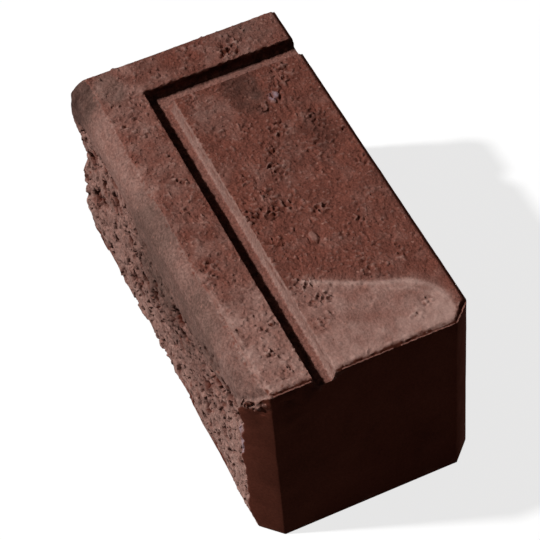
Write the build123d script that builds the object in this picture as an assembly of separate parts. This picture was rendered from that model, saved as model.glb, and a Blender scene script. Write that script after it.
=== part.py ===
from build123d import *
from math import ceil, cos, exp, hypot, pi, sin
import os

# Retaining wall block, a corner unit: one piece of pressed concrete, in millimetres.
# The long face towards -Y and the short end towards -X are broken faces, which show in the wall.
# The end towards +X and the side towards +Y are plain, as the mould left them.
# The block lies on its bed, with the origin in the middle of the bed and +Z up.

# Overall size
length = 400.0
depth = 200.0
height = 200.0

# Moulded edges
end_chamfer = 18.5  # upright chamfer at each side of the plain end
arris_run = 2.0  # steep chamfer that the press shoe leaves along the moulded top edges
arris_drop = 3.0

# Shoulders: the smooth rounded slopes between the flat top and the broken faces
face_shoulder = 17.0  # how far the long face stands out from the edge of the flat top
end_shoulder = 9.0  # how far the short broken end stands out from it
shoulder_drop = 20.0  # height of the shoulders
shoulder_bulge = 0.17  # how far a shoulder bows out from a straight slope, as a share of its reach
crease_corner = 3.0  # radius in plan where the two edges of the flat top meet
broken_corner = 4.0  # radius in plan where the two broken faces meet

# Broken faces: shallow dents strewn over them, of several sizes, that run into each other, and one
# spall that takes the sharpness off the corner between them
dent_depth = 2.8
dent_radius = 34.0
dent_count = 30
dent_fade = 34.0  # height over which the dents die out below the smooth shoulder
spall_depth = 5.0
spall_radius = 34.0
spall_height = 112.0  # of the middle of the spall above the bed
corner_reach = 25.0  # how far from the corner the two faces still give way towards it

# Interlock groove: an L in plan, at one margin from both edges of the flat top
groove_margin = 38.5
groove_width = 21.0  # at the top
groove_depth = 11.5
groove_outer_draft = 1.0  # how far the steep outer wall leans in from top to floor
groove_inner_run = 4.5  # how far the sloped inner wall leans in

# Working allowances: how far tools run past the block, how many places the broken skin is drawn
# through along each face and round the corner, and the spacing of its level outlines
overrun = 12.0
crease_overrun = 2.0
face_places = 36
end_places = 20
corner_places = 3
face_step = 10.5
shoulder_step = 5.0


def moulded_block():
    """The pressed prism, still oversize towards the two sides that are broken away."""
    plain_end = length / 2
    plain_side = depth / 2
    oversize_end = -length / 2 - overrun
    oversize_side = -depth / 2 - overrun
    outline = Polygon(
        (plain_end - end_chamfer - overrun, oversize_side),
        (plain_end, -depth / 2 + end_chamfer),
        (plain_end, plain_side - end_chamfer),
        (plain_end - end_chamfer, plain_side),
        (oversize_end, plain_side),
        (oversize_end, oversize_side),
        align=None,
    )
    prism = extrude(outline, height)
    top = prism.faces().sort_by(Axis.Z)[-1]
    return chamfer(top.edges(), arris_run, arris_drop, reference=top)


def even_steps(low, high, step):
    """Places from low to high, both included, at most one step apart."""
    count = max(2, ceil((high - low) / step))
    return [low + (high - low) * index / count for index in range(count + 1)]


def plan_path(side_x, side_y, radius):
    """Places along a level line that follows the long face, turns the broken corner and follows the
    short end, closer together near the corner, each as (x, y, tilt of its outward side from -Y to -X)."""
    centre_x = side_x + radius
    centre_y = side_y + radius
    places = []
    for index in range(face_places, -1, -1):
        away = (length / 2 + overrun - centre_x) * (index / face_places) ** 1.5
        places.append((centre_x + away, side_y, pi / 4 * exp(-((away / corner_reach) ** 2))))
    for index in range(1, corner_places):
        angle = pi / 2 * index / corner_places
        places.append((centre_x - radius * sin(angle), centre_y - radius * cos(angle), pi / 4))
    for index in range(end_places + 1):
        away = (depth / 2 + overrun - centre_y) * (index / end_places) ** 1.5
        places.append((side_x, centre_y + away, pi / 2 - pi / 4 * exp(-((away / corner_reach) ** 2))))
    return places


def shoulder_share(z):
    """How much of its reach a shoulder's bowed slope stands back from the broken face at a height."""
    climb = max(0.0, (z - height + shoulder_drop) / shoulder_drop)
    return climb - 4 * shoulder_bulge * climb * (1 - climb)


def broken_dents():
    """The dents as (distance along the two broken faces, height, radius, depth): the spall at the
    corner, then the small ones, strewn evenly but without order."""
    strewn = [(length, spall_height, spall_radius, spall_depth)]
    for index in range(dent_count):
        distance = (length + depth) * (index * 0.618034 % 1)
        z = height * (index * 0.754878 % 1)
        radius = dent_radius * (0.75 + 0.5 * (index * 0.569840 % 1))
        strewn.append((distance, z, radius, dent_depth))
    return strewn


def dent_inset(dents, x, y, z):
    """How far the dents push the broken faces back at a place."""
    distance = length / 2 - x + y + depth / 2
    pushed = 0.0
    for dent_distance, dent_z, radius, deep in dents:
        away = hypot(distance - dent_distance, z - dent_z) / radius
        pushed += deep * exp(-2 * away * away)
    fade = min(1.0, max(0.0, (height - shoulder_drop - z) / dent_fade))
    return pushed * fade * fade * (3 - 2 * fade)


def shares_along(path):
    """How far along its path each place lies, as a share of the whole."""
    run = [0.0]
    for (x, y, _), (next_x, next_y, _) in zip(path, path[1:]):
        run.append(run[-1] + hypot(next_x - x, next_y - y))
    return [value / run[-1] for value in run]


def skin_loft(heights):
    """A sheet lofted through the skin's level outlines at the given heights."""
    foot_path = plan_path(-length / 2, -depth / 2, broken_corner)
    crease_path = plan_path(-length / 2 + end_shoulder, -depth / 2 + face_shoulder, crease_corner)
    shares = shares_along(foot_path)
    dents = broken_dents()
    outlines = []
    for z in heights:
        share = shoulder_share(z)
        points = []
        for (foot_x, foot_y, tilt), (crease_x, crease_y, _) in zip(foot_path, crease_path):
            inset = dent_inset(dents, foot_x, foot_y, z)
            x = foot_x + (crease_x - foot_x) * share + sin(tilt) * inset
            y = foot_y + (crease_y - foot_y) * share + cos(tilt) * inset
            points.append(Vector(x, y, z))
        outlines.append(Wire([Edge.make_spline(points, parameters=shares)]))
    return Shell.make_loft(outlines)


def broken_skin():
    """The broken faces and their shoulders as one sheet that wraps round the corner."""
    shoulder_foot = height - shoulder_drop
    broken = skin_loft(even_steps(-overrun, shoulder_foot, face_step))
    shoulder = skin_loft(even_steps(shoulder_foot, height + crease_overrun, shoulder_step))
    return Shell(broken.faces() + shoulder.faces())


def interlock_groove():
    """The space of the L-shaped groove: one drafted section swept round a mitred corner."""
    outer_y = -depth / 2 + face_shoulder + groove_margin
    outer_x = -length / 2 + end_shoulder + groove_margin
    start = (length / 2 + overrun, outer_y, height)
    corner = (outer_x, outer_y, height)
    finish = (outer_x, depth / 2 + overrun, height)
    section = Plane(origin=start, x_dir=(0, 1, 0), z_dir=(-1, 0, 0)) * Polygon(
        (0, -overrun),
        (0, 0),
        (groove_outer_draft, groove_depth),
        (groove_width - groove_inner_run, groove_depth),
        (groove_width, 0),
        (groove_width, -overrun),
        align=None,
    )
    return sweep(section, path=Polyline(start, corner, finish), transition=Transition.RIGHT)


def wall_block():
    """The whole block: pressed, broken away on two sides, with its interlock groove."""
    pieces = moulded_block().split(broken_skin(), keep=Keep.ALL)
    kept = max(pieces, key=lambda piece: piece.volume)
    block = kept - interlock_groove()
    block.label = "wall_block"
    return block


os.makedirs("parts", exist_ok=True)
export_step(wall_block(), "parts/wall_block.step")
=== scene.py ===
import math

import bpy
import numpy as np
from mathutils import Matrix, Vector, noise


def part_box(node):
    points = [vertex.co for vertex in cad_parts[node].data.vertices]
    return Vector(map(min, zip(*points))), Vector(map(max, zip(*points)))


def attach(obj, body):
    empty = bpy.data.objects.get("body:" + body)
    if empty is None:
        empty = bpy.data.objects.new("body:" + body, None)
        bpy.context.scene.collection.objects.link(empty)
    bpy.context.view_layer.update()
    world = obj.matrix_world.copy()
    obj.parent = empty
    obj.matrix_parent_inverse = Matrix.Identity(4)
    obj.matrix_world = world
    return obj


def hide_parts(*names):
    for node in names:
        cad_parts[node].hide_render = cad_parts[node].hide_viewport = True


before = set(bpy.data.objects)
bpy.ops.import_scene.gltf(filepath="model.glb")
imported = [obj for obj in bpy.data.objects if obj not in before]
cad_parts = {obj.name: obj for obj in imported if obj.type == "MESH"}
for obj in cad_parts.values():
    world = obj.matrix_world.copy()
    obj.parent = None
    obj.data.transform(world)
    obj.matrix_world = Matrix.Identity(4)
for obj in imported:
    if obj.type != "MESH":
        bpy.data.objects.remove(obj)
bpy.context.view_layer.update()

# Retaining wall block, a corner unit of reddish-brown pressed concrete. Lengths are in metres.
# The broken faces look towards -Y and -X, the plain moulded ones towards +X and +Y.

block_low, block_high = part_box("wall_block")

# Camera: it looks down on the plain end from the side of the long broken face
camera_azimuth = math.radians(70.0)
camera_elevation = math.radians(50.59)
camera_roll = math.radians(-5.73)
camera_distance = 1.9687
camera_aim = Vector((0.0055, -0.0004, 0.0991))
camera_sensor = 36  # millimetres wide
camera_lens = 149.5  # millimetres
camera_reach = 20  # how far it sees

# Light: one key from the side of the long broken face, and a weak even fill
key_direction = Vector((-0.268, -0.656, 0.705))
key_strength = 4.35
key_angle = math.radians(3.0)
fill_strength = 0.09
fill_colour = (1, 0.83, 0.76, 1)
white = (1, 1, 1, 1)
black = (0, 0, 0, 1)

# Floor: its size, how it looks to the camera, and how little light it throws back on the block
floor_size = 12
floor_glow = 0.78
floor_seen = (0.22, 0.22, 0.22, 1)
floor_thrown = (0.1, 0.1, 0.1, 1)

# The block's own sizes, as the frame has them
face_shoulder = 0.017
end_shoulder = 0.009
shoulder_drop = 0.020
groove_margin = 0.0385
groove_width = 0.021
groove_depth = 0.0115
chamfer_line = 0.2815  # x - y on the chamfer between the long broken face and the plain end
half_length = 0.2
half_depth = 0.1
diagonal = 0.7071  # turns x - y into a distance off that chamfer, and x + y into one along it
negligible = 0.00001  # lengths under this count as none
top_z = block_high.z
crease_z = top_z - 0.0008  # what lies above this counts as the flat top
crease_y = block_low.y + face_shoulder
crease_x = block_low.x + end_shoulder
groove_outer_y = crease_y + groove_margin
groove_outer_x = crease_x + groove_margin
groove_edges_y = (groove_outer_y, groove_outer_y + groove_width)
groove_edges_x = (groove_outer_x, groove_outer_x + groove_width)

# How the shoulders are rounded into the broken faces
shoulder_foot = top_z - shoulder_drop
shoulder_round = 0.014  # how far above and below the foot the rounding reaches
face_kink = 0.27  # change of slope at the foot
end_kink = 0.14

# How the plain moulded edges are worn: where each rounding starts, along which axis, and how low it goes
worn_edges = ((0.0966, 1), (0.1962, 0))
worn_edge_width = 0.0018
worn_edge_drop = 0.0011
plain_fullness = 0.0009  # how much fuller the plain side stands than the solid's
lip_swell = 0.0010  # how far the groove's inner lip is swollen, and how far around it
lip_reach = 0.0025
plain_rim_x = 0.196  # the grain of the plain edges starts here
plain_rim_y = 0.0965

# How finely the block is remeshed before it gets its relief, and how much of it is kept after
fine_step = 0.001
kept_triangles = 190000
weight_steps = 30
sharp_angle = math.radians(50)

# Hollows and stones of the top, in millimetres: x, y, reach of the cluster, how deep
top_hollows = [
    (-173, 55, 9, 1.8), (-162, 43, 9, 2.0), (-158, 18, 4, 1.4), (-180, 63, 5, 1.4), (-168, 2, 8, 1.2),
    (-120, 72, 8, 1.6), (-105, 65, 8, 1.8), (-94, 57, 7, 2.0), (-60, 80, 9, 1.4), (-48, 75, 9, 1.5),
    (-31, 73, 9, 1.5), (-57, 42, 9, 2.0), (-38, 34, 6, 1.6), (-34, 29, 4, 1.8), (-70, 18, 6, 1.8),
    (-19, 20, 6, 2.2), (5, 55, 4, 1.2), (25, 35, 5, 1.5), (43, 38, 7, 1.6), (33, 23, 7, 1.6),
    (27, 14, 6, 1.6), (8, 2, 8, 2.0), (25, -2, 9, 2.0), (-17, -7, 6, 2.0), (7, -12, 6, 1.8),
    (25, -19, 8, 2.4), (15, -20, 5, 2.0), (60, -13, 7, 2.4), (52, 5, 5, 1.5), (82, -2, 3, 1.2),
    (78, 75, 4, 1.4), (45, 78, 4, 1.2), (97, 60, 3, 1.2), (115, 46, 5, 1.6), (107, -12, 7, 2.0),
    (113, -18, 6, 1.8), (130, -2, 7, 2.2), (148, -5, 6, 1.8), (153, -15, 6, 1.8), (133, -10, 5, 1.6),
    (170, 71, 5, 1.8), (178, 55, 4, 1.3), (152, 33, 4, 1.3), (195, 8, 3, 1.2), (135, 90, 4, 1.2),
    (60, -71, 8, 1.8), (-38, -58, 7, 1.4), (135, -50, 5, 2.0), (178, -55, 6, 1.6), (130, -78, 4, 1.6),
    (-137, -51, 4, 1.2), (-108, -62, 9, 1.1), (-155, -58, 6, 1.2), (-118, -75, 5, 1.1), (40, -49, 4, 1.2),
    (8, -56, 6, 1.1), (28, -68, 6, 1.1), (160, -65, 4, 1.3), (188, -73, 5, 1.5), (-125, -12, 6, 1.1),
    (-85, 45, 6, 1.2), (-8, 55, 6, 1.2), (-75, 58, 5, 1.3), (62, 60, 5, 1.2), (-185, 22, 5, 1.2),
]
top_stones = [
    (68, 18, 6.5, 4.0, 1.3), (-95, 58, 5.0, 3.2, 1.5), (-89, 53, 3.2, 2.6, 1.2), (-60, 43, 3.0, 2.2, 1.2),
    (-66, 47, 2.2, 2.6, 1.0), (-28, -3, 2.6, 2.0, 1.0), (75, 26, 2.6, 1.8, 0.8), (17, 20, 2.0, 2.4, 0.8),
    (27, 27, 2.2, 1.6, 0.8), (-168, 66, 2.6, 2.0, 1.0), (133, -50, 2.6, 2.6, 1.3), (121, 60, 2.2, 1.8, 0.9),
]

# The bent pale line on the top, x and y in millimetres
tide_line = [
    (106.7, -10), (111.7, 0), (117.7, 10), (123.3, 20), (128.3, 30), (133.3, 39), (137.7, 49), (142.3, 61.7),
    (149, 72.3), (158.3, 81.7), (166.7, 86), (176.7, 87.7), (188.3, 86.3), (196.7, 81),
]
tide_turn = 10  # the place in this list where the line stops rising steeply

# Hollows of the long broken face: x, z, reach of the cluster, how deep
face_hollows = [
    (37, 125, 9, 5.0), (42, 137, 5, 3.5), (43, 108, 6, 3.0), (-27, 155, 5, 3.5), (-101, 158, 6, 3.0),
    (-100, 133, 8, 4.0), (-108, 120, 6, 3.0), (-58, 100, 5, 3.2), (-20, 85, 9, 4.2), (-45, 87, 8, 4.0),
    (-72, 58, 8, 4.2), (-84, 46, 6, 3.4), (-184, 62, 8, 4.4), (-176, 46, 5, 3.6), (-152, 82, 7, 3.2),
    (-168, 71, 6, 3.2), (-190, 80, 5, 3.4), (-110, 90, 5, 2.8), (-137, 117, 6, 3.2), (-162, 130, 6, 3.0),
    (-173, 115, 7, 3.2),
    (117, 132, 8, 4.0), (107, 110, 6, 3.2), (140, 145, 8, 3.6), (145, 125, 6, 3.2), (155, 148, 6, 3.0),
    (85, 88, 6, 3.4), (93, 96, 4, 2.6), (82, 53, 7, 3.6), (88, 30, 5, 3.0), (62, 42, 4, 2.4),
    (153, 68, 5, 3.0), (172, 42, 5, 2.8), (12, 88, 6, 3.0), (-72, 112, 6, 2.8), (8, 120, 5, 2.4),
    (-68, 43, 6, 3.2), (-45, 28, 5, 2.6), (-25, 10, 4, 2.4), (174, 163, 5, 2.8), (176, 130, 4, 2.6),
    (25, 82, 6, 3.2), (-15, 112, 5, 3.0), (28, 162, 3, 2.0), (105, 158, 3, 2.0), (-165, 183, 3, 1.8),
    (-130, 150, 5, 2.6), (60, 118, 4, 2.4),
    (-5, 62, 4, 2.2), (25, 68, 4, 2.2), (120, 95, 4, 2.4), (128, 70, 4, 2.4), (110, 45, 4, 2.4),
]

# Hollows strewn over the short broken end, on from the corner, in millimetres as above
end_hollow_count = 18
end_hollow_across = (-390, -210)
end_hollow_up = (10, 155)
end_hollow_reach = (4, 9)
end_hollow_depth = 2.4
end_share = 0.7  # how deep the short end is pitted, set against the long face

# How hollows, pits and crumbs are formed
cluster_spread = 1.35  # how wide a cluster of hollows is, set against its reach in the lists above
top_share = 0.62  # how deep a hollow of the top goes, as a share of what its list says
top_crumb = 0.0010  # how high the crumbs of the top stand, and how deep the gaps between them are
stone_ring = 0.0007  # depth of the ring that is sunk round a stone
stone_ring_middle = 1.15  # how far out the ring lies, and how wide it is, in radii of the stone
stone_ring_half = 0.25
least_open_depth = 0.0025  # of a hollow of the long face that has opened into a pit
strewn_pit_depth = 0.0036
small_pit_depth = 0.0024

# Places where the skin stands fuller, or less full, than in the solid: middle, reach, rise, in metres
swells = [
    (np.array((-0.196, -0.088, 0.197)), 0.010, 0.0013),
    (np.array((-0.200, -0.100, 0.155)), 0.018, 0.0020),
    (np.array((-0.200, -0.100, 0.120)), 0.024, 0.0038),
    (np.array((-0.200, -0.100, 0.080)), 0.028, 0.0040),
    (np.array((-0.200, -0.100, 0.040)), 0.026, 0.0034),
    (np.array((-0.186, -0.100, 0.000)), 0.014, -0.0024),
    (np.array((-0.150, -0.100, 0.000)), 0.034, -0.0020),
    (np.array((-0.082, -0.100, 0.004)), 0.024, 0.0026),
    (np.array((-0.040, -0.100, 0.004)), 0.024, 0.0020),
    (np.array((0.030, -0.100, 0.000)), 0.026, -0.0026),
    (np.array((0.100, -0.100, 0.000)), 0.040, -0.0028),
    (np.array((0.165, -0.100, 0.000)), 0.030, -0.0010),
]
chamfer_swell = 0.0026  # how much the broken face stands out beside the chamfer
chamfer_swell_high = 0.0012  # and how much more it does in the upper half
chamfer_swell_reach = 0.022
chamfer_edge = 0.182  # where along X the chamfer meets the long broken face

# The chipped edge over the chamfer: how far along it, and how low the edge is chipped there
chip_along = (0.0560, 0.0585, 0.0615, 0.0695, 0.0760, 0.0800, 0.0830)
chip_drop = (0, 0.001, 0.005, 0.007, 0.006, 0.004, 0)
chip_x = 0.170  # it lies beyond this towards +X
chip_y = -0.076  # beyond this towards -Y
chip_z = 0.174  # and, as far as its tone goes, above this
burr_height = 0.0015  # how far the burr beside it stands out
burr_pit_depth = 0.0021  # and how deep the pits under it go

# How high the rough part of the long broken face reaches below the smooth shoulder, along X
rough_x = (-0.200, -0.150, -0.100, -0.060, 0.000, 0.070, 0.105, 0.130, 0.200)
rough_z = (0.158, 0.168, 0.172, 0.163, 0.157, 0.158, 0.166, 0.178, 0.182)
rough_fade = 0.020  # height over which it sets in
rough_wander = ((0.008, 0.030, 3.0), (0.006, 0.011, 9.0))  # how far its edge wanders, noise size, seed

# Where that rough part is calmer: by how much, middle in X and Z, reach across and up
calm_patches = (
    (0.22, (-0.012, 0.140), (0.060, 0.030)),
    (0.20, (0.075, 0.150), (0.050, 0.025)),
)

# The top's strip before the groove ends, and its middle starts, at this Y in millimetres
strip_edge = -44.5

# How far the edges of the tones and of the pale line wander, in millimetres, and by which slow noise
tone_wander = 7
line_wander = 1.5
wander_size = 0.020
wander_seeds = (21.0, 33.0, 45.0)  # along X, Y and Z

# The walls of the groove beyond these places are lit or in shade, and at which heights, in millimetres
lit_wall_x = -134
lit_wall_y = -28.5
shaded_wall_x = -146
shaded_wall_y = -34
shaded_from, shaded_to = 186, 198.5

# Greyish patches: on which surface, how grey, middle, reach across and up in millimetres, and turn
grey_patches = (
    ("skin", 0.80, (-8, 160), (60, 62), -0.25),
    ("skin", 0.80, (88, 166), (56, 46), -0.3),
    ("skin", 0.50, (0, 105), (85, 42), 0.0),
    ("skin", 0.90, (-188, 186), (40, 30), 0.0),
    ("strip", 0.70, (-168, -70), (30, 14), 0.0),
    ("middle", 0.38, (-112, 34), (30, 20), 0.0),
    ("far_end", 0.35, (-178, 72), (18, 22), 0.0),
)

# Finish of the concrete
concrete_roughness = 0.92
concrete_gloss = 0.03
grain_height = 0.0012

# Flash: how far below the top it lies, how finely its rim is cut, and the size of its crumbs
ledge_drop = 0.0028
ledge_thickness = 0.0006
ledge_step = 0.0012
ledge_crumb = 0.0034
ledge_ragged = 2.2  # how far its rim is pushed in and out, as a share of its width
ledge_middle = 0.60  # the noise at which the rim stays where it is
ledge_tone = {"grainy": 0.8, "pale": 0.22}

# A soft patch is full out to the first of these shares of its reach, and gone at the second
patch_rim = (0.55, 1.1)

rng = np.random.default_rng(41)


def camera():
    """The camera at the photograph's place."""
    back = Vector((
        math.sin(camera_azimuth) * math.cos(camera_elevation),
        -math.cos(camera_azimuth) * math.cos(camera_elevation),
        math.sin(camera_elevation),
    ))
    level = Vector((0, 0, 1)).cross(back).normalized()
    upward = back.cross(level)
    right = level * math.cos(camera_roll) + upward * math.sin(camera_roll)
    up = upward * math.cos(camera_roll) - level * math.sin(camera_roll)
    place = Matrix((right, up, back)).transposed().to_4x4()
    place.translation = camera_aim + back * camera_distance
    lens = bpy.data.cameras.new("camera")
    lens.sensor_width = camera_sensor
    lens.lens = camera_lens
    lens.clip_end = camera_reach
    seen_from = bpy.data.objects.new("camera", lens)
    seen_from.matrix_world = place
    bpy.context.scene.collection.objects.link(seen_from)
    bpy.context.scene.camera = seen_from


def lights():
    """The key light and the plain surroundings."""
    key = bpy.data.lights.new("key", "SUN")
    key.energy = key_strength
    key.angle = key_angle
    lamp = bpy.data.objects.new("key", key)
    lamp.rotation_euler = key_direction.to_track_quat("Z", "Y").to_euler()
    bpy.context.scene.collection.objects.link(lamp)

    world = bpy.data.worlds.new("studio")
    bpy.context.scene.world = world
    world.use_nodes = True
    nodes, links = world.node_tree.nodes, world.node_tree.links
    nodes.clear()
    output = nodes.new("ShaderNodeOutputWorld")
    seen = nodes.new("ShaderNodeBackground")
    seen.inputs["Color"].default_value = white
    seen.inputs["Strength"].default_value = 1.0
    fill = nodes.new("ShaderNodeBackground")
    fill.inputs["Color"].default_value = fill_colour
    fill.inputs["Strength"].default_value = fill_strength
    mix = nodes.new("ShaderNodeMixShader")
    links.new(direct_ray(nodes, links), mix.inputs["Fac"])
    links.new(fill.outputs[0], mix.inputs[1])
    links.new(seen.outputs[0], mix.inputs[2])
    links.new(mix.outputs[0], output.inputs["Surface"])


def direct_ray(nodes, links):
    """One for camera, glossy and transmission rays, which show the surroundings, and 0 for all others."""
    path = nodes.new("ShaderNodeLightPath")
    glossy = nodes.new("ShaderNodeMath")
    glossy.operation = "MAXIMUM"
    links.new(path.outputs["Is Camera Ray"], glossy.inputs[0])
    links.new(path.outputs["Is Glossy Ray"], glossy.inputs[1])
    clear = nodes.new("ShaderNodeMath")
    clear.operation = "MAXIMUM"
    links.new(glossy.outputs[0], clear.inputs[0])
    links.new(path.outputs["Is Transmission Ray"], clear.inputs[1])
    return clear.outputs[0]


def floor():
    """A plain pale floor that keeps the block's shadow and throws little light back on it."""
    bpy.ops.mesh.primitive_plane_add(size=floor_size, location=(0, 0, 0))
    ground = bpy.context.object
    ground.name = "floor"
    paint = bpy.data.materials.new("pale_floor")
    paint.use_nodes = True
    nodes, links = paint.node_tree.nodes, paint.node_tree.links
    nodes.clear()
    output = nodes.new("ShaderNodeOutputMaterial")
    glow = nodes.new("ShaderNodeEmission")
    glow.inputs["Color"].default_value = white
    glow.inputs["Strength"].default_value = floor_glow
    matt = nodes.new("ShaderNodeBsdfDiffuse")
    matt.inputs["Color"].default_value = floor_seen
    pale = nodes.new("ShaderNodeAddShader")
    links.new(glow.outputs[0], pale.inputs[0])
    links.new(matt.outputs[0], pale.inputs[1])
    dim = nodes.new("ShaderNodeBsdfDiffuse")
    dim.inputs["Color"].default_value = floor_thrown
    mix = nodes.new("ShaderNodeMixShader")
    links.new(direct_ray(nodes, links), mix.inputs["Fac"])
    links.new(dim.outputs[0], mix.inputs[1])
    links.new(pale.outputs[0], mix.inputs[2])
    links.new(mix.outputs[0], output.inputs["Surface"])
    ground.data.materials.append(paint)


def only(piece):
    """Makes a piece the one that is selected and active."""
    bpy.ops.object.select_all(action="DESELECT")
    piece.select_set(True)
    bpy.context.view_layer.objects.active = piece


def smooth(value, low, high):
    """An eased step from 0 at low to 1 at high."""
    share = np.clip((value - low) / (high - low), 0, 1)
    return share * share * (3 - 2 * share)


def drift(places, size, seed):
    """Smooth noise between about -1 and 1 at the given places, of one size."""
    return np.array([noise.noise(Vector(place)) for place in places / size + seed])


def wandered(places, reach):
    """The places in millimetres, pushed to and fro by the slow noise, up to the given reach."""
    true_places = places.T * 1000
    return [true + reach * drift(places, wander_size, seed) for true, seed in zip(true_places, wander_seeds)]


def patch(x, y, centre, half, turn=0.0):
    """A soft oval patch, 1 in its middle."""
    off_x = x - centre[0]
    off_y = y - centre[1]
    along = (off_x * math.cos(turn) + off_y * math.sin(turn)) / half[0]
    across = (off_y * math.cos(turn) - off_x * math.sin(turn)) / half[1]
    return 1 - smooth(np.hypot(along, across), *patch_rim)


def places_of(piece):
    """The places and outward sides of a piece's vertices."""
    count = len(piece.data.vertices)
    places = np.empty(count * 3)
    sides = np.empty(count * 3)
    piece.data.vertices.foreach_get("co", places)
    piece.data.vertices.foreach_get("normal", sides)
    return places.reshape(-1, 3), sides.reshape(-1, 3)


def block_body():
    """The whole block: a merged copy of the frame's solid, remeshed finely enough to carry relief."""
    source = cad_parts["wall_block"]
    mesh = source.data.copy()
    mesh.materials.clear()
    block = bpy.data.objects.new("block_body", mesh)
    bpy.context.scene.collection.objects.link(block)
    only(block)
    bpy.ops.object.mode_set(mode="EDIT")
    bpy.ops.mesh.select_all(action="SELECT")
    bpy.ops.mesh.remove_doubles(threshold=negligible)
    bpy.ops.object.mode_set(mode="OBJECT")
    fine = block.modifiers.new("fine", "REMESH")
    fine.mode = "VOXEL"
    fine.voxel_size = fine_step
    bpy.ops.object.modifier_apply(modifier=fine.name)
    return block


def beside_chamfer(places):
    """How far places lie inside the plane of the broken face's chamfer, and how far along it."""
    inside = (chamfer_line - (places[:, 0] - places[:, 1])) * diagonal
    along = (places[:, 0] + places[:, 1]) * diagonal
    return inside, along


def to_edge(value, edges):
    """How far a coordinate is from the nearer of two edges."""
    return np.minimum(np.abs(value - edges[0]), np.abs(value - edges[1]))


def surfaces(places, sides):
    """How far each vertex belongs to each kind of surface, from 0 to 1."""
    x, y, z = places.T

    # The broken skin: its rough part below, calmer in two places, and the shoulder above
    outward = np.maximum(-sides[:, 1], -sides[:, 0])
    off_chamfer = smooth(chamfer_line - (x - y), 0.0005, 0.0025)
    outside = (y < crease_y + 0.001) | (x < crease_x + 0.001)
    skin = smooth(outward, 0.3, 0.6) * off_chamfer * (z < crease_z) * outside
    rough_top = np.interp(x, rough_x, rough_z)
    for reach, size, seed in rough_wander:
        rough_top = rough_top + reach * drift(places, size, seed)
    broken = skin * smooth(rough_top - z, 0.0, rough_fade)
    broken = broken * (1 - 0.4 * smooth(0.004 - z, 0, 0.003))
    calm = np.zeros(len(x))
    for share, centre, reach in calm_patches:
        calm += share * patch(x, z, centre, reach)
    rough = broken * (1 - calm * (-sides[:, 1] > 0.5))
    shoulder = skin - broken

    # The flat top and its edges: the groove's lips, the crease over the shoulder and the plain rim
    top = smooth(sides[:, 2], 0.7, 0.9) * (z > top_z - 0.002)
    worn_top = top * smooth(0.0985 - y, 0.0005, 0.0040)
    along_face = to_edge(y, groove_edges_y) + np.where(x < groove_edges_x[0] - 0.002, 1, 0)
    along_end = to_edge(x, groove_edges_x) + np.where(y < groove_edges_y[0] - 0.002, 1, 0)
    lip = smooth(0.0022 - np.minimum(along_face, along_end), 0, 0.002) * (z > top_z - 0.004)
    crease = smooth(0.003 - np.abs(y - crease_y), 0, 0.003) * (z > top_z - 0.004)
    past_rim = np.maximum(x - plain_rim_x, y - plain_rim_y)
    rim = smooth(z, top_z - 0.005, top_z - 0.002) * smooth(past_rim, 0, 0.0015)
    plain_rim = rim * np.where(y > plain_rim_y, 0.15, 0.45)
    edge = np.maximum(np.maximum(0.50 * lip, 0.45 * crease), plain_rim)
    off_corner = np.abs(beside_chamfer(places)[0])
    burr = smooth(0.0032 - off_corner, 0, 0.0026) * smooth(z, 0.170, 0.178) * (y < -0.079)

    # The groove's walls and floor, and what is left: the plain moulded sides
    in_face_leg = (y > groove_edges_y[0] - 0.0005) & (y < groove_edges_y[1] + 0.0005)
    in_end_leg = (x > groove_edges_x[0] - 0.0005) & (x < groove_edges_x[1] + 0.0005)
    inside = (in_face_leg & (x > groove_edges_x[0])) | (in_end_leg & (y > groove_edges_y[0]))
    groove = inside * (z > top_z - groove_depth - 0.001) * (1 - top) * smooth(sides[:, 2], 0.1, 0.3)
    channel = groove * smooth(sides[:, 2], 0.5, 0.8)
    moulded = np.clip(1 - skin - top - groove, 0, 1) * (z > 0.001)
    return {
        "broken": broken, "rough": rough, "shoulder": shoulder, "top": top, "worn_top": worn_top,
        "edge": edge, "burr": burr, "groove": groove, "channel": channel, "moulded": moulded,
    }


def in_groove(places):
    """Whether places lie in the space of the groove or on its walls."""
    x, y, _ = places.T
    beside = 0.0012
    face_leg = (y > groove_edges_y[0] - beside) & (y < groove_edges_y[1] + beside)
    end_leg = (x > groove_edges_x[0] - beside) & (x < groove_edges_x[1] + beside)
    return (face_leg & (x > groove_edges_x[0] - beside)) | (end_leg & (y > groove_edges_y[0] - beside))


def group(block, name, weights):
    """A vertex group with the given weights, in steps."""
    made = block.vertex_groups.new(name=name)
    steps = np.rint(weights * weight_steps).astype(int)
    for step in range(1, weight_steps + 1):
        chosen = np.nonzero(steps == step)[0]
        if len(chosen):
            made.add(chosen.tolist(), step / weight_steps, "REPLACE")


def roughen(block, where, size, strength, middle=0.5, kind="CLOUDS", depth=2, ramp=None):
    """Moves one kind of surface in and out by a noise of the given size."""
    relief = bpy.data.textures.new(where, kind)
    relief.noise_scale = size
    if kind == "CLOUDS":
        relief.noise_depth = depth
    if ramp:
        relief.use_color_ramp = True
        relief.color_ramp.elements[0].position = ramp[0]
        relief.color_ramp.elements[0].color = black
        relief.color_ramp.elements[1].position = ramp[1]
        relief.color_ramp.elements[1].color = white
    wear = block.modifiers.new(where, "DISPLACE")
    wear.texture = relief
    wear.texture_coords = "LOCAL"
    wear.vertex_group = where
    wear.strength = strength
    wear.mid_level = middle
    only(block)
    bpy.ops.object.modifier_apply(modifier=wear.name)


def crumbled(places, size, seed):
    """Uneven noise of a main size and half of it, about -1 to 1."""
    return drift(places, size, seed) + 0.5 * drift(places, size / 2, seed + 7.0)


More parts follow.
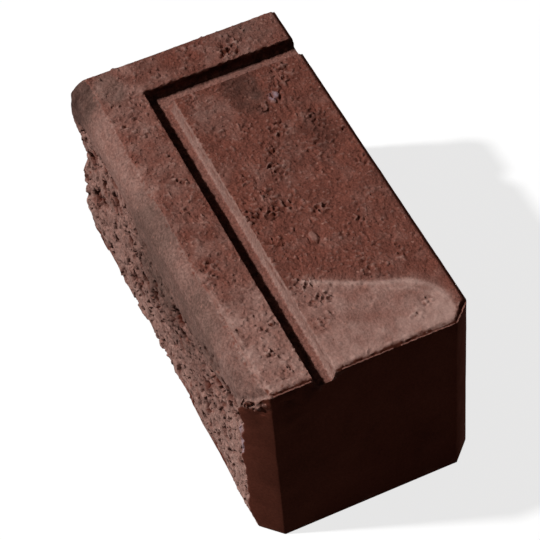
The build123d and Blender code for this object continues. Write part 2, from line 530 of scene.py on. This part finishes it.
def strewn(across, up, hollows):
    """How deep the deepest of some clusters goes at each place, in metres."""
    deepest = np.zeros(len(across))
    for at_across, at_up, reach, depth in hollows:
        half = cluster_spread * reach / 1000
        near = patch(across, up, (at_across / 1000, at_up / 1000), (half, half))
        deepest = np.maximum(deepest, depth / 1000 * near)
    return deepest


def pit_top(places, weight):
    """The hollows, crumbs and stones of the top."""
    chosen = np.nonzero(weight > 0.3)[0]
    spots = places[chosen] * (1, 1, 0)
    x, y = spots[:, 0], spots[:, 1]
    crumbs = crumbled(spots, 0.0036, 5.0)
    calm = 1 - 0.6 * smooth(x, 0.11, 0.15) * (y > groove_edges_y[1])
    thick = smooth(drift(spots, 0.017, 25.0), 0.05, 0.55) * calm
    deep_here = top_share * strewn(x, y, top_hollows) + top_crumb * thick
    moved = deep_here * (smooth(crumbs, -0.02, 0.40) - 0.8 * smooth(-crumbs, 0.02, 0.45))
    fine_crumbs = crumbled(spots, 0.0030, 13.0)
    moved -= top_crumb * smooth(fine_crumbs, 0.20, 0.70) * calm
    moved += top_crumb * smooth(-fine_crumbs, 0.26, 0.66) * calm
    for at_x, at_y, half_x, half_y, rise in top_stones:
        off_x = (x - at_x / 1000) / (half_x / 1000)
        off_y = (y - at_y / 1000) / (half_y / 1000)
        away = off_x * off_x + off_y * off_y
        ring = np.clip(1 - np.abs(np.sqrt(away) - stone_ring_middle) / stone_ring_half, 0, 1)
        dome = -rise / 1000 * np.sqrt(np.clip(1 - away, 0, 1))
        moved = np.where(away < 1, dome, moved + ring * stone_ring)
    places[chosen, 2] -= moved * weight[chosen]


def pit_broken(places, sides, weight):
    """The hollows of the two broken faces, the long one's after the photograph. Says how open each
    vertex's pit is."""
    chosen = np.nonzero(weight > 0.1)[0]
    x, y, z = places[chosen].T
    on_face = -sides[chosen, 1] >= -sides[chosen, 0]
    across = np.where(on_face, x, -half_length - (y + half_depth))
    end_hollows = [
        (
            rng.uniform(*end_hollow_across), rng.uniform(*end_hollow_up), rng.uniform(*end_hollow_reach),
            end_hollow_depth,
        )
        for _ in range(end_hollow_count)
    ]
    crumbs = crumbled(places[chosen], 0.0085, 35.0)
    deep_here = strewn(across, z, face_hollows + end_hollows)
    open_here = smooth(deep_here * 1000 / 3.6 + 0.60 * crumbs, 0.36, 0.62)
    thick = smooth(drift(places[chosen], 0.024, 55.0), 0.0, 0.5)
    moved = 0.30 * deep_here + 1.10 * np.maximum(deep_here, least_open_depth) * open_here
    strewn_pits = thick * smooth(crumbs, 0.06, 0.34)
    small_pits = smooth(crumbled(places[chosen], 0.0048, 47.0), 0.26, 0.50)
    moved += strewn_pit_depth * strewn_pits + small_pit_depth * small_pits
    inward = moved * weight[chosen] * np.where(on_face, 1, end_share)
    places[chosen, 1] += np.where(on_face, inward, 0)
    places[chosen, 0] += np.where(on_face, 0, inward)
    opened = np.zeros(len(places))
    open_here = np.maximum(open_here, np.maximum(0.85 * strewn_pits, 0.55 * small_pits))
    opened[chosen] = open_here * weight[chosen]
    return opened


def hang_burr(worn, inside, along):
    """The chipped edge over the chamfer, the pits under it and the burr that hangs beside them."""
    near = smooth(0.007 - inside, 0, 0.006) * (worn[:, 1] < chip_y) * (worn[:, 0] > chip_x)
    uneven = 1 + 0.5 * crumbled(worn, 0.0050, 83.0)
    chip = np.interp(along, chip_along, chip_drop)
    worn[:, 2] -= chip * near * uneven * smooth(worn[:, 2], 0.160, 0.186)
    flat = (np.abs(inside) < 0.0030) & (worn[:, 1] < chip_y)
    pits = smooth(along, 0.0575, 0.0590) * smooth(0.0700 - along, 0, 0.0012)
    pits = pits * smooth(worn[:, 2], 0.1745, 0.1765) * smooth(0.1850 - worn[:, 2], 0, 0.003)
    pits = pits * flat * smooth(crumbled(worn, 0.0030, 91.0), -0.20, 0.10)
    lump = np.exp(-(((along - 0.0722) / 0.0024) ** 4)) * smooth(worn[:, 2], 0.1755, 0.1790)
    lump = lump * flat * smooth(0.1990 - worn[:, 2], 0, 0.003) * (0.9 + 0.7 * crumbled(worn, 0.0032, 97.0))
    outward = burr_height * lump - burr_pit_depth * pits
    worn[:, 0] += diagonal * outward
    worn[:, 1] -= diagonal * outward


def roughen_all(block):
    """The grain of every kind of surface, from the coarsest noise to the finest. Each line gives the
    surface, the size of the noise, its strength and its middle."""
    roughen(block, "rough", 0.018, 0.0042, 0.48)
    roughen(block, "rough", 0.0110, 0.0032, 1.0, ramp=(0.38, 0.47))
    roughen(block, "rough", 0.0056, -0.0010, 0.32, kind="VORONOI")
    roughen(block, "rough", 0.0026, 0.0010, depth=1)
    roughen(block, "shoulder", 0.022, 0.0010, 0.55)
    roughen(block, "shoulder", 0.0030, 0.0007)
    roughen(block, "worn_top", 0.026, 0.0011)
    roughen(block, "worn_top", 0.0072, 0.0013, 0.55)
    roughen(block, "worn_top", 0.0028, 0.0010)
    roughen(block, "groove", 0.0070, 0.0007)
    roughen(block, "groove", 0.0028, 0.0005)
    roughen(block, "channel", 0.0060, 0.0014)
    roughen(block, "channel", 0.0028, 0.0012)
    roughen(block, "edge", 0.0050, 0.0022, 0.60)
    roughen(block, "burr", 0.0050, 0.0016)
    roughen(block, "moulded", 0.045, 0.0005)


def swell_skin(worn, sides):
    """Fills out the broken skin, or takes it back, where the photographed outline does."""
    for centre, reach, rise in swells:
        away = np.linalg.norm(worn - centre, axis=1) / reach
        worn += sides * (rise * np.exp(-2 * away * away))[:, None]


def round_shoulders(worn, sides, kinds):
    """Rounds the foot of the shoulders into the broken faces."""
    bend = np.maximum(0, shoulder_round - np.abs(worn[:, 2] - shoulder_foot)) ** 2
    bend = bend * (kinds["shoulder"] + kinds["broken"])
    worn[:, 1] += face_kink / (4 * shoulder_round) * bend * smooth(-sides[:, 1], 0.5, 0.9)
    worn[:, 0] += end_kink / (4 * shoulder_round) * bend * smooth(-sides[:, 0], 0.5, 0.9)


def swell_by_chamfer(worn, kinds, inside, along):
    """Fills out the broken face beside the chamfer. The chamfer's own skin slides along its plane."""
    beside = np.exp(-2 * ((worn[:, 0] - chamfer_edge) / chamfer_swell_reach) ** 2)
    flat = np.abs(inside) < 0.0012
    on_chamfer = smooth(0.0725 - along, 0, 0.014) * flat
    high = smooth(worn[:, 2], 0.080, 0.100) * smooth(0.176 - worn[:, 2], 0.0, 0.012)
    out = (chamfer_swell + chamfer_swell_high * high) * smooth(worn[:, 2], -0.002, 0.020)
    out = out * (1 + 0.45 * crumbled(worn * (0.2, 0.2, 1), 0.0075, 103.0))
    out = out * np.maximum(beside * kinds["broken"], on_chamfer * smooth(0.182 - worn[:, 2], 0, 0.012))
    worn[:, 1] -= out
    worn[:, 0] -= out * np.where(flat, 1, np.exp(-inside / 0.007))


def wear_edges(worn, sides):
    """Swells the groove's inner lip, rounds the plain top edges and fills out the plain side."""
    lip_off = (worn[:, 1] - groove_edges_y[1]) / lip_reach
    beside_leg = smooth(worn[:, 2], 0.190, 0.199) * (worn[:, 0] > groove_edges_x[1])
    worn[:, 1] -= lip_swell * np.exp(-lip_off * lip_off) * beside_leg
    for edge_at, axis in worn_edges:
        over = smooth(worn[:, axis], edge_at, edge_at + worn_edge_width) * smooth(worn[:, 2], 0.195, 0.199)
        worn[:, 2] -= worn_edge_drop * over
    plain_side = smooth(sides[:, 1], 0.3, 0.6) * smooth(worn[:, 1], 0.076, 0.078)
    plain_side = plain_side * smooth(top_z - worn[:, 2], 0.001, 0.004)
    worn[:, 1] += plain_fullness * plain_side
    worn[:, 0] += plain_fullness * plain_side * smooth(sides[:, 0], 0.3, 0.6)


def keep_value(piece, name, values):
    """Keeps one number for each vertex of a piece, under a name."""
    kept = piece.data.attributes.new(name, "FLOAT", "POINT")
    kept.data.foreach_set("value", values)


def kept_value(piece, name):
    """The numbers that are kept for a piece's vertices under a name."""
    values = np.empty(len(piece.data.vertices))
    piece.data.attributes[name].data.foreach_get("value", values)
    return values


def weather(block):
    """Gives the block its relief, and keeps how deep each vertex was sunk and how open its pit is."""
    places, sides = places_of(block)
    kinds = surfaces(places, sides)
    for name, weights in kinds.items():
        group(block, name, weights)
    roughen_all(block)
    worn, _ = places_of(block)
    swell_skin(worn, sides)
    round_shoulders(worn, sides, kinds)
    inside, along = beside_chamfer(worn)
    swell_by_chamfer(worn, kinds, inside, along)
    hang_burr(worn, inside, along)
    wear_edges(worn, sides)
    pit_top(worn, kinds["worn_top"])
    opened = pit_broken(worn, sides, kinds["broken"])
    worn[:, 2] = np.maximum(worn[:, 2], 0)
    block.data.vertices.foreach_set("co", worn.ravel())
    keep_value(block, "sunk", np.einsum("ij,ij->i", places - worn, sides))
    keep_value(block, "opened", opened)
    block.data.update()


def lighten(block):
    """Brings the block down to the triangles it may have."""
    triangles = sum(len(face.vertices) - 2 for face in block.data.polygons)
    fewer = block.modifiers.new("fewer", "DECIMATE")
    fewer.ratio = min(1, kept_triangles / triangles)
    only(block)
    bpy.ops.object.modifier_apply(modifier=fewer.name)
    bpy.ops.object.shade_smooth_by_angle(angle=sharp_angle)


def off_line(x, y, points):
    """How far places lie from a bent line."""
    nearest = np.full(len(x), np.inf)
    for (start_x, start_y), (finish_x, finish_y) in zip(points, points[1:]):
        run_x, run_y = finish_x - start_x, finish_y - start_y
        share = ((x - start_x) * run_x + (y - start_y) * run_y) / (run_x * run_x + run_y * run_y)
        share = np.clip(share, 0, 1)
        away = np.hypot(x - start_x - share * run_x, y - start_y - share * run_y)
        nearest = np.minimum(nearest, away)
    return nearest


def pale_sheet(places):
    """The pale sheet near the plain end, and the bent line at which it starts."""
    true_y = places[:, 1] * 1000
    line_x, line_y, _ = wandered(places, line_wander)
    rising = tide_line[:tide_turn + 1]
    crest = tide_line[tide_turn - 1:]
    bend = np.interp(line_y, [y for _, y in rising], [x for x, _ in rising])
    limit = np.interp(line_x, [x for x, _ in crest], [y for _, y in crest])
    sheet = smooth(line_x - bend, -4, 4) * smooth(limit - line_y, -1.5, 1.5)
    near_line = off_line(line_x, line_y, tide_line)
    tide = np.exp(-((near_line / 2.4) ** 2)) + 0.30 * np.exp(-((near_line / 8.0) ** 2))
    tide += 0.35 * np.exp(-(((near_line - 7.5) / 1.8) ** 2)) * sheet * smooth(true_y, 30, 50)
    return sheet, tide


def shade_by_hollows(x, z):
    """How near places on the long broken face lie to one of its hollows, from 0 to 1, for the painted shade
    in and round them.
    """
    near_hollow = np.zeros(len(x))
    for at_x, at_z, reach, _ in face_hollows:
        near_hollow = np.maximum(near_hollow, patch(x, z, (at_x, at_z), (1.7 * reach, 1.5 * reach)))
    return near_hollow


def chip_and_burr(places, sides):
    """Where the chipped edge over the chamfer is, and where its pale burr is."""
    x, y, z = places.T
    inside, along = beside_chamfer(places)
    at_chip = (y < chip_y) * (x > chip_x) * (z > chip_z) * (inside < 0.0024)
    burr = smooth(-inside, 0.0005, 0.0010) * smooth(along, 0.066, 0.068)
    burr = burr * smooth(0.0768 - along, 0, 0.002)
    burr = at_chip * np.maximum(burr, smooth(sides[:, 2], 0.2, 0.45))
    chipped = smooth(0.0085 - inside, 0, 0.003) * (y < -0.070) * (x > 0.165) * (z > 0.168)
    return chipped, burr


def tones(block):
    """Paints, as vertex values, where the concrete is paler, greyer or darker, painted light and shade among
    them. Lengths in millimetres.
    """
    places, sides = places_of(block)
    sunk = kept_value(block, "sunk")
    opened = kept_value(block, "opened")
    kinds = surfaces(places, sides)
    true_x, true_y, true_z = places.T * 1000
    x, y, z = wandered(places, tone_wander)
    spread = drift(places, 0.045, 57.0)
    cloudy = drift(places, 0.013, 63.0)
    top = kinds["top"]
    strip = top * (true_y < strip_edge)
    middle = top * (true_y > strip_edge)
    far_end = top * (x < -150)
    skin = kinds["shoulder"] + kinds["broken"]
    sheet, tide = pale_sheet(places)
    chipped, burr = chip_and_burr(places, sides)

    # Pale: the middle of the top, the groove, the strip before it, the far end, and the broken skin
    pale = middle * sheet * (0.42 + 0.30 * smooth(x, 150, 195) + 0.26 * cloudy)
    pale += middle * sheet * 0.20 * smooth(x, 150, 190) * smooth(y, 40, 75)
    pale += middle * 0.62 * tide
    pale += middle * 0.16 * patch(x, y, (-97, -2), (34, 22))
    pale += middle * (1 - sheet) * 0.14 * smooth(cloudy, 0.0, 0.6)
    lit_wall = kinds["groove"] * (true_y > lit_wall_y) * smooth(true_x, lit_wall_x, lit_wall_x + 8)
    pale += kinds["groove"] * (0.13 + 0.06 * smooth(x, 40, 140)) + 0.50 * lit_wall
    pale += 0.14 * kinds["groove"] * smooth(lit_wall_x - true_x, 0, 2)
    pale += smooth(-sunk * 1000, 0.25, 0.9) * top * 0.35
    pale += strip * (0.34 * smooth(x, 60, 125) + 0.16 + 0.22 * cloudy)
    pale += strip * 0.26 * smooth(-y, 68, 82) * smooth(cloudy, -0.1, 0.5)
    # A pale line just inside the crease: partly its own paler edge, partly a painted highlight where its
    # ridge takes the light.
    pale += strip * 0.24 * np.exp(-((true_y + 80.5) / 1.6) ** 2) * smooth(x, 20, 90)
    pale += far_end * (0.12 + 0.15 * spread + 0.14 * cloudy)
    # Partly the skin's own tone, partly painted light and shade: paler lower down and darker up by the
    # crease, which evens out how the shoulder's curve takes the light.
    low_tone = 0.56 + 0.16 * smooth(x, 70, 150) + 0.12 * smooth(90 - z, 0, 60)
    high_tone = 0.54 - 0.10 * smooth(-x, 140, 190)
    height_share = smooth(z, 176, 196)
    pale += skin * (low_tone * (1 - height_share) + high_tone * height_share)
    pale -= skin * 0.16 * smooth(true_z, 193, 200) * smooth(cloudy, -0.2, 0.4)
    pale += 0.08 * spread * (1 - kinds["moulded"])
    # Painted shade: the long face is darker in and round its hollows.
    pale -= 0.36 * shade_by_hollows(x, z) * kinds["broken"] * (-sides[:, 1] > 0.2)
    pale += 0.60 * burr

    grey = np.zeros(len(x))
    surface_and_up = {"skin": (skin, z), "strip": (strip, y), "middle": (middle, y), "far_end": (far_end, y)}
    for name, share, centre, reach, turn in grey_patches:
        surface, up = surface_and_up[name]
        grey += surface * share * patch(x, up, centre, reach, turn)

    # Dark: damp on the top and painted shade towards its far end, the shoulder's ends, painted shade on the
    # groove's walls and floor where its lip's shadow falls, and the plain sides
    dark = middle * 0.30 * patch(x, y, (-112, 33), (30, 20))
    # Beside a damp patch, the top is painted darker towards its far end: painted shade where the light falls
    # off.
    dark += middle * (0.30 * patch(x, y, (-42, 74), (36, 16)) + 0.08 * smooth(-x, 20, 110))
    dark += middle * 0.14 * smooth(spread, 0.0, 0.5) * (1 - sheet)
    dark += kinds["shoulder"] * (0.19 + 0.40 * smooth(-x, 135, 185) + 0.30 * smooth(x, 100, 175))
    dark += kinds["broken"] * (0.13 + 0.16 * patch(x, z, (20, 85), (110, 55)))
    dark += 0.20 * lit_wall
    dark += kinds["moulded"] * 0.45 * np.clip(drift(places * (1, 1, 0.25), 0.014, 71.0), 0, 1)
    damp_end = patch(y, z, (-64, 162), (15, 42)) * smooth(cloudy, -0.3, 0.3)
    dark += kinds["moulded"] * 0.40 * (sides[:, 0] > 0.9) * damp_end
    # Painted shade: the groove's walls and floor that lie in the shadow of its outer lip are painted dark.
    shaded = smooth(shaded_wall_y - true_y, 0, 2) * (true_x > -150) + smooth(shaded_wall_x - true_x, 0, 2)
    dark += 0.7 * (true_z < shaded_to) * (true_z > shaded_from) * np.clip(shaded, 0, 1) * in_groove(places)

    # The bared stones, lilac: one on the top and a row of them beside the chamfer
    stone = np.exp(-((np.hypot(true_x + 93, true_y - 56) / 5.5) ** 4)) * top * smooth(-sunk * 1000, -0.2, 0.4)
    stone += 0.75 * kinds["broken"] * patch(true_x, true_z, (175, 118), (8, 30)) * smooth(cloudy, -0.5, 0.0)

    # The depth of the pits, by which they are painted dark as painted shade, what the mould left plain, and
    # how grainy each surface looks
    deep = 0.5 * smooth(sunk * 1000, 2.0, 5.0) * kinds["broken"] + 0.95 * opened
    deep += 0.65 * smooth(sunk * 1000, 0.6, 2.1) * (top + kinds["shoulder"])
    deep = deep * (1 - chipped)
    plain = kinds["moulded"] * smooth(np.maximum(sides[:, 0], sides[:, 1]), 0.2, 0.4) * (1 - burr)
    grainy = skin + 0.9 * kinds["groove"] + 0.5 * kinds["moulded"] + top * (0.75 - 0.40 * np.clip(pale, 0, 1))
    painted_values = (
        ("pale", pale), ("grey", grey), ("dark", dark), ("deep", deep), ("plain", plain), ("stone", stone),
        ("grainy", grainy),
    )
    for name, value in painted_values:
        keep_value(block, name, np.clip(value, 0, 1))


def linear(red, green, blue):
    """A colour given as it looks, from 0 to 255, as the renderer counts it."""
    return tuple((level / 255) ** 2.2 for level in (red, green, blue)) + (1,)


def concrete():
    """The block's one material: reddish concrete, speckled at several sizes."""
    paint = bpy.data.materials.new("reddish_concrete")
    paint.use_nodes = True
    nodes, links = paint.node_tree.nodes, paint.node_tree.links
    shader = nodes["Principled BSDF"]
    shader.inputs["Roughness"].default_value = concrete_roughness
    shader.inputs["Specular IOR Level"].default_value = concrete_gloss
    here = nodes.new("ShaderNodeTexCoord").outputs["Object"]

    def speckle(size, detail, low, high, bottom, top):
        """Cloudy noise of a size, whose values from low to high are spread from bottom to top."""
        grain = nodes.new("ShaderNodeTexNoise")
        grain.inputs["Scale"].default_value = 1 / size
        grain.inputs["Detail"].default_value = detail
        grain.inputs["Roughness"].default_value = 0.65
        links.new(here, grain.inputs["Vector"])
        spread = nodes.new("ShaderNodeMapRange")
        spread.inputs["From Min"].default_value = low
        spread.inputs["From Max"].default_value = high
        spread.inputs["To Min"].default_value = bottom
        spread.inputs["To Max"].default_value = top
        links.new(grain.outputs["Fac"], spread.inputs["Value"])
        return spread.outputs["Result"]

    def painted(name):
        """The value that each vertex carries under a name."""
        value = nodes.new("ShaderNodeAttribute")
        value.attribute_name = name
        return value.outputs["Fac"]

    def combine(operation, one, other):
        """Two values put together, the second of them a plain number or another node's."""
        step = nodes.new("ShaderNodeMath")
        step.operation = operation
        links.new(one, step.inputs[0])
        if isinstance(other, float):
            step.inputs[1].default_value = other
        else:
            links.new(other, step.inputs[1])
        return step.outputs[0]

    def mix(share, under, over, way="MIX"):
        """One colour laid over another by a share."""
        step = nodes.new("ShaderNodeMix")
        step.data_type = "RGBA"
        step.blend_type = way
        links.new(share, step.inputs["Factor"])
        for socket, colour in ((step.inputs[6], under), (step.inputs[7], over)):
            if isinstance(colour, tuple):
                socket.default_value = colour
            else:
                links.new(colour, socket)
        return step.outputs[2]

    def cells(size, low, high, share):
        """Small uneven spots in some of the cells of a random pattern."""
        bend = nodes.new("ShaderNodeTexNoise")
        bend.inputs["Scale"].default_value = 2.5 / size
        bend.inputs["Detail"].default_value = 2.0
        links.new(here, bend.inputs["Vector"])
        bent = nodes.new("ShaderNodeVectorMath")
        bent.operation = "MULTIPLY_ADD"
        bent.inputs[1].default_value = (0.9 * size, 0.9 * size, 0.9 * size)
        links.new(bend.outputs["Color"], bent.inputs[0])
        links.new(here, bent.inputs[2])
        spots = nodes.new("ShaderNodeTexVoronoi")
        spots.inputs["Scale"].default_value = 1 / size
        links.new(bent.outputs[0], spots.inputs["Vector"])
        inside = nodes.new("ShaderNodeMapRange")
        inside.inputs["From Min"].default_value = high
        inside.inputs["From Max"].default_value = low
        links.new(spots.outputs["Distance"], inside.inputs["Value"])
        parted = nodes.new("ShaderNodeSeparateColor")
        links.new(spots.outputs["Color"], parted.inputs["Color"])
        picked = nodes.new("ShaderNodeMath")
        picked.operation = "LESS_THAN"
        picked.inputs[1].default_value = share
        links.new(parted.outputs[0], picked.inputs[0])
        return combine("MULTIPLY", inside.outputs["Result"], picked.outputs[0])

    red = linear(112, 68, 58)
    brown = linear(97, 60, 52)
    bare = linear(90, 51, 41)
    bare_low = linear(80, 44, 35)
    pale = linear(151, 121, 112)
    grey = linear(99, 77, 70)
    lilac = linear(132, 112, 118)
    chip_pale = linear(146, 106, 94)
    dark_stain_and_shade = linear(30, 14, 11)
    pit_shade = linear(57, 24, 16)

    colour = mix(speckle(0.018, 4.0, 0.35, 0.65, 0.0, 1.0), red, brown)
    bare_tone = mix(speckle(0.055, 3.0, 0.35, 0.65, 0.0, 1.0), bare, bare_low)
    colour = mix(painted("plain"), colour, bare_tone)
    whiter = combine("MULTIPLY", painted("pale"), speckle(0.009, 4.0, 0.30, 0.70, 0.72, 1.22))
    colour = mix(whiter, colour, pale)
    greyer = combine("MULTIPLY", painted("grey"), speckle(0.012, 4.0, 0.35, 0.60, 0.6, 1.1))
    colour = mix(greyer, colour, grey)
    bare_share = combine("SUBTRACT", painted("plain"), 1.0)
    worn_share = combine("MULTIPLY", bare_share, -0.8)
    chips = combine("MULTIPLY", cells(0.0040, 0.16, 0.34, 0.07), worn_share)
    colour = mix(chips, colour, chip_pale)
    # The dark tone: damp and darker patches of the concrete, and painted shade in the groove and towards the
    # top's far end.
    darker = combine("MULTIPLY", painted("dark"), speckle(0.010, 4.0, 0.35, 0.60, 0.6, 1.2))
    colour = mix(darker, colour, dark_stain_and_shade)
    # Painted shade in the pits and hollows, dark red.
    deeper = combine("MULTIPLY", painted("deep"), 0.95)
    colour = mix(deeper, colour, pit_shade)
    colour = mix(painted("stone"), colour, lilac)
    shade = nodes.new("ShaderNodeCombineColor")
    grains = speckle(0.0022, 3.0, 0.30, 0.70, 0.60, 1.40)
    for index in range(3):
        links.new(grains, shade.inputs[index])
    colour = mix(painted("grainy"), colour, shade.outputs[0], "MULTIPLY")
    links.new(colour, shader.inputs["Base Color"])

    fine = nodes.new("ShaderNodeBump")
    fine.inputs["Distance"].default_value = grain_height
    unwashed = combine("MULTIPLY", combine("SUBTRACT", whiter, 1.3), -0.75)
    links.new(combine("MULTIPLY", unwashed, worn_share), fine.inputs["Strength"])
    links.new(speckle(0.0020, 4.0, 0.25, 0.75, 0.0, 1.0), fine.inputs["Height"])
    links.new(fine.outputs["Normal"], shader.inputs["Normal"])
    return paint


def ribbon(name, middle, length, width, turn):
    """A thin ragged ledge of flash, level, around its middle and turned about the upright."""
    parts = max(8, int(length / ledge_step))
    bpy.ops.mesh.primitive_grid_add(x_subdivisions=parts, y_subdivisions=2, size=1, location=middle)
    ledge = bpy.context.object
    ledge.name = name
    only(ledge)
    bpy.ops.object.mode_set(mode="EDIT")
    bpy.ops.mesh.select_all(action="SELECT")
    bpy.ops.transform.resize(value=(length, width, 1), center_override=middle)
    bpy.ops.transform.rotate(value=-turn, orient_axis="Z", center_override=middle)
    bpy.ops.object.mode_set(mode="OBJECT")
    bpy.ops.object.transform_apply(location=True, rotation=True, scale=True)
    thick = ledge.modifiers.new("thick", "SOLIDIFY")
    thick.thickness = ledge_thickness
    thick.offset = 0
    bpy.ops.object.modifier_apply(modifier=thick.name)
    relief = bpy.data.textures.new(name, "CLOUDS")
    relief.noise_scale = ledge_crumb
    outward = (abs(math.sin(turn)), abs(math.cos(turn)))
    push = ledge_ragged * width
    for axis, strength in (("X", push * outward[0]), ("Y", push * outward[1]), ("Z", ledge_thickness)):
        if abs(strength) > negligible:
            ragged = ledge.modifiers.new("ragged", "DISPLACE")
            ragged.texture = relief
            ragged.texture_coords = "LOCAL"
            ragged.direction = axis
            ragged.strength = strength
            ragged.mid_level = ledge_middle
            bpy.ops.object.modifier_apply(modifier=ragged.name)
    for tone, value in ledge_tone.items():
        keep_value(ledge, tone, np.full(len(ledge.data.vertices), value))
    return ledge


bpy.context.scene.view_settings.view_transform = "Standard"
camera()
lights()
floor()
paint = concrete()
block = block_body()
weather(block)
lighten(block)
tones(block)
block.data.materials.append(paint)
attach(block, "root")
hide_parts("wall_block")

# Flash of the press along the plain edges: name, start, finish, width
end_x = block_high.x
ledge_z = top_z - ledge_drop
flash = (
    ("flash_front", (end_x, -0.0790), (end_x, -0.0460), 0.0011),
    ("flash_end_a", (end_x, -0.0190), (end_x, 0.0260), 0.0010),
    ("flash_end_b", (end_x, 0.0330), (end_x, 0.0810), 0.0010),
    ("flash_chamfer", (end_x + 0.0005, 0.0830), (0.1845, 0.0990), 0.0010),
)
for name, start, finish, width in flash:
    run_x, run_y = finish[0] - start[0], finish[1] - start[1]
    middle = ((start[0] + finish[0]) / 2, (start[1] + finish[1]) / 2, ledge_z)
    turn = math.atan2(run_y, run_x)
    ledge = ribbon(name, middle, math.hypot(run_x, run_y), width, turn)
    ledge.data.materials.append(paint)
    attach(ledge, "root")
